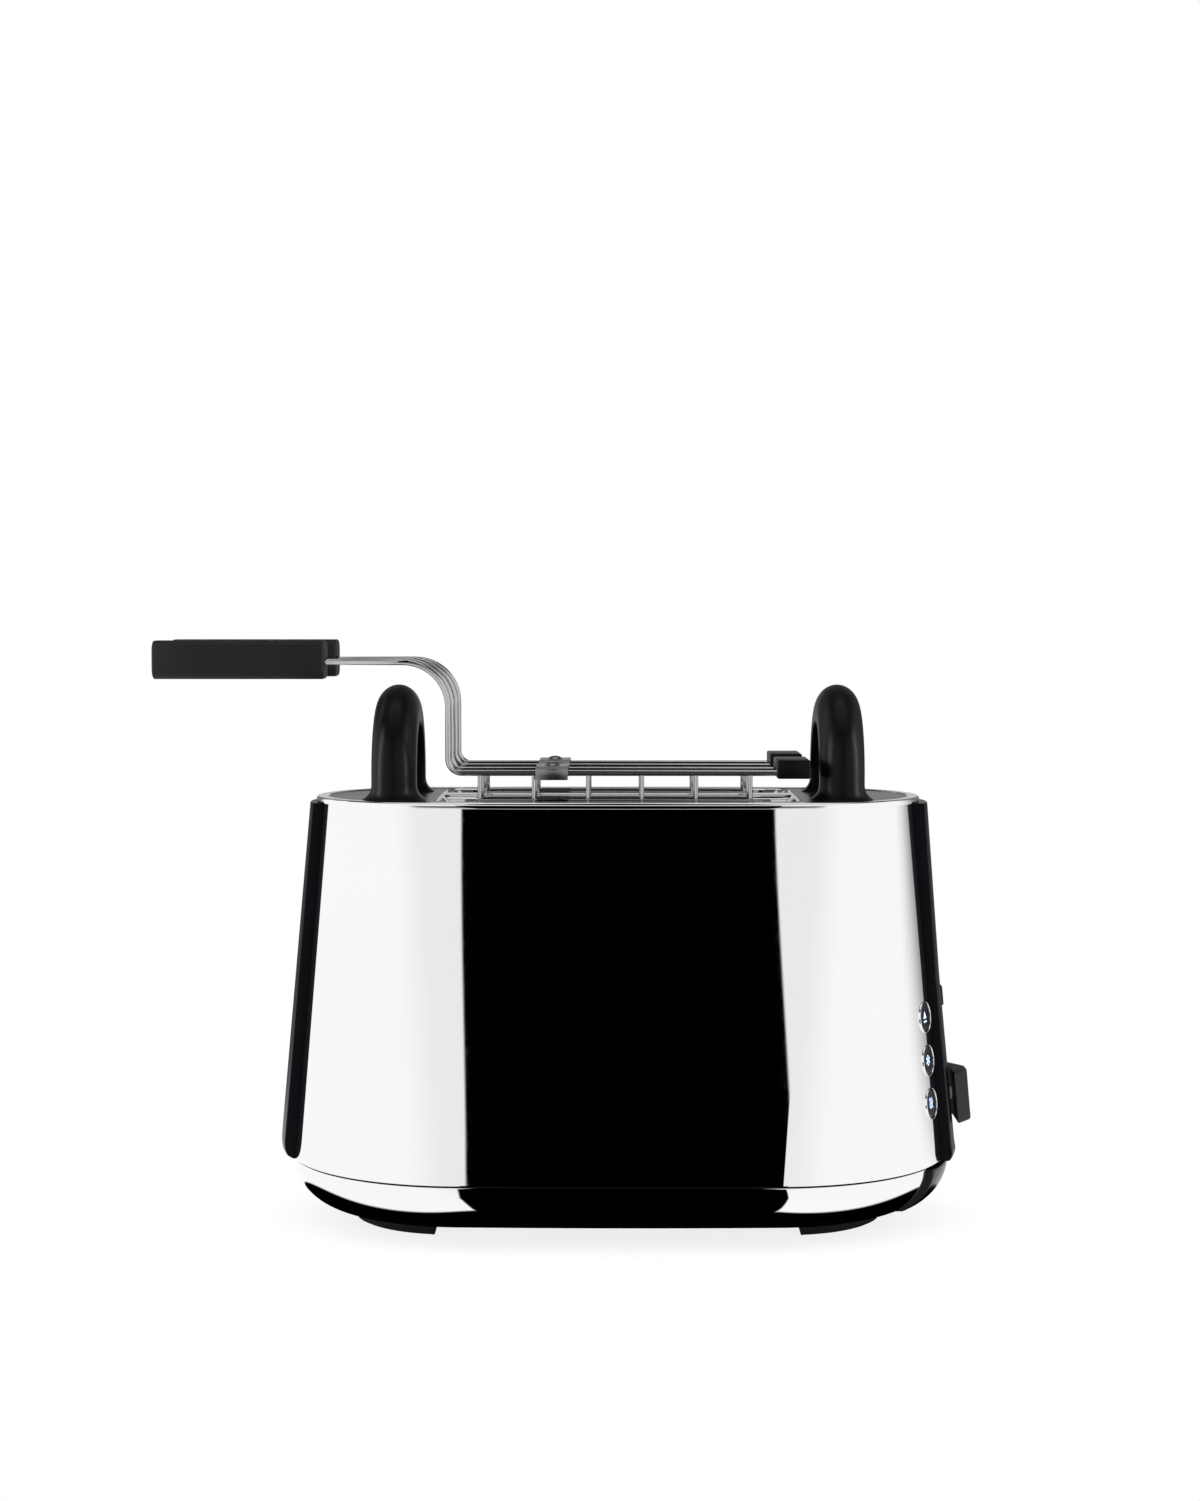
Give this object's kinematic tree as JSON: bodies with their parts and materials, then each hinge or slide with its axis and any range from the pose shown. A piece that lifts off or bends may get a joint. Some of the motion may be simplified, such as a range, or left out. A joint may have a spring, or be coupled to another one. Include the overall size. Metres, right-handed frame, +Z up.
{
  "type": "toaster",
  "caption": "Two-slot toaster with a tapered mirror-steel shell, black arched grips, side lever, lit push buttons and lift-out sandwich racks with long handles.",
  "frame": {"origin": "on the floor under the middle of the steel body", "axes": "+X towards the control panel and its lever, +Y towards the back, +Z up"},
  "size_m": [0.3613, 0.1624, 0.2583],
  "materials": {
    "mirror_steel": "mirror polished steel",
    "satin_steel": "satin steel plate",
    "trough_steel": "polished steel",
    "black_plastic": "satin black moulding",
    "panel_plastic": "semi-gloss near-black panel",
    "rubber_feet": "matt black pads",
    "wire_steel": "bright drawn wire",
    "aluminised_sheet": "aluminised sheet",
    "mica_board": "mica board",
    "ribbon_wire": "heating ribbon",
    "circuit_board": "circuit board and its components",
    "magnet_coil": "wound coil on an iron core",
    "terminal_plastic": "terminal block",
    "button_face": "dark button with a lit icon",
    "zinc_screw": "zinc plated"
  },
  "bodies": {
    "root": {"shell": "mirror_steel", "skirt": "mirror_steel", "seam_band": "black_plastic", "base_pan": "black_plastic", "feet": "rubber_feet", "base_screws": "zinc_screw", "top_ring": "mirror_steel", "top_plate": "satin_steel", "slot_trough": "trough_steel", "slot_divider": "trough_steel", "grip_left": "black_plastic", "grip_right": "black_plastic", "left_end_panel": "black_plastic", "control_panel": "panel_plastic", "chassis_right": "aluminised_sheet", "chassis_left": "aluminised_sheet", "heat_shield_front": "aluminised_sheet", "heat_shield_rear": "aluminised_sheet", "heater_front_outer": "mica_board", "heater_front_inner": "mica_board", "heater_rear_inner": "mica_board", "heater_rear_outer": "mica_board", "heating_ribbons": "ribbon_wire", "guard_front": "wire_steel", "guard_rear": "wire_steel", "guide_rod": "wire_steel", "electromagnet": "magnet_coil", "return_spring": "wire_steel", "button_rings": "mirror_steel", "switch_board": "circuit_board", "browning_control": "circuit_board", "control_board": "circuit_board", "cord_inlet": "black_plastic", "terminal_block": "terminal_plastic"},
    "carriage": {"carriage": "aluminised_sheet", "lever_knob": "black_plastic", "lifter_front": "aluminised_sheet", "lifter_rear": "aluminised_sheet"},
    "button_eject": {"button_eject": "button_face"},
    "button_defrost": {"button_defrost": "button_face"},
    "button_reheat": {"button_reheat": "button_face"},
    "browning_knob": {"browning_knob": "black_plastic"},
    "crumb_tray": {"crumb_tray": "aluminised_sheet", "tray_front": "black_plastic"},
    "front_rack": {"front_outer_arm": "wire_steel", "front_outer_grid": "wire_steel", "front_handle": "black_plastic", "front_pivot_pin": "wire_steel", "front_tip_cap": "black_plastic"},
    "front_jaw": {"front_inner_arm": "wire_steel", "front_inner_grid": "wire_steel"},
    "front_clip": {"front_clip": "trough_steel"},
    "rear_rack": {"rear_outer_arm": "wire_steel", "rear_outer_grid": "wire_steel", "rear_handle": "black_plastic", "rear_pivot_pin": "wire_steel", "rear_tip_cap": "black_plastic"},
    "rear_jaw": {"rear_inner_arm": "wire_steel", "rear_inner_grid": "wire_steel"},
    "rear_clip": {"rear_clip": "trough_steel"}
  },
  "joints": [
    {"name": "lever_slide", "type": "slide", "parent": "root", "child": "carriage", "axis": [0, 0, 1], "range_m": [0, 0.072], "deforming": ["return_spring"]},
    {"name": "browning_slide", "type": "slide", "parent": "root", "child": "browning_knob", "axis": [-0.0888, 0, 0.9961], "range_m": [-0.012, 0.033]},
    {"name": "tray_slide", "type": "slide", "parent": "root", "child": "crumb_tray", "axis": [1, 0, 0], "range_m": [0, 0.2]},
    {"name": "eject_press", "type": "slide", "parent": "root", "child": "button_eject", "axis": [-0.8982, 0.4284, -0.0984], "range_m": [0, 0.0012], "stiffness_N_per_m": 300},
    {"name": "defrost_press", "type": "slide", "parent": "root", "child": "button_defrost", "axis": [-0.8982, 0.4284, -0.0984], "range_m": [0, 0.0012], "stiffness_N_per_m": 300},
    {"name": "reheat_press", "type": "slide", "parent": "root", "child": "button_reheat", "axis": [-0.8982, 0.4284, -0.0984], "range_m": [0, 0.0012], "stiffness_N_per_m": 300},
    {"name": "front_rack_lift", "type": "slide", "parent": "carriage", "child": "front_rack", "axis": [0, 0, 1], "range_m": [0, 0.14]},
    {"name": "front_jaw_hinge", "type": "hinge", "parent": "front_rack", "child": "front_jaw", "pos_m": [-0.152, -0.0205, 0.249], "axis": [0, 0, -1], "range_deg": [0, 2.5]},
    {"name": "front_clip_slide", "type": "slide", "parent": "front_rack", "child": "front_clip", "axis": [1, 0, 0], "range_m": [-0.028, 0.088]},
    {"name": "rear_rack_lift", "type": "slide", "parent": "carriage", "child": "rear_rack", "axis": [0, 0, 1], "range_m": [0, 0.14]},
    {"name": "rear_jaw_hinge", "type": "hinge", "parent": "rear_rack", "child": "rear_jaw", "pos_m": [-0.152, 0.0205, 0.249], "axis": [0, 0, 1], "range_deg": [0, 2.5]},
    {"name": "rear_clip_slide", "type": "slide", "parent": "rear_rack", "child": "rear_clip", "axis": [1, 0, 0], "range_m": [-0.028, 0.088]}
  ]
}
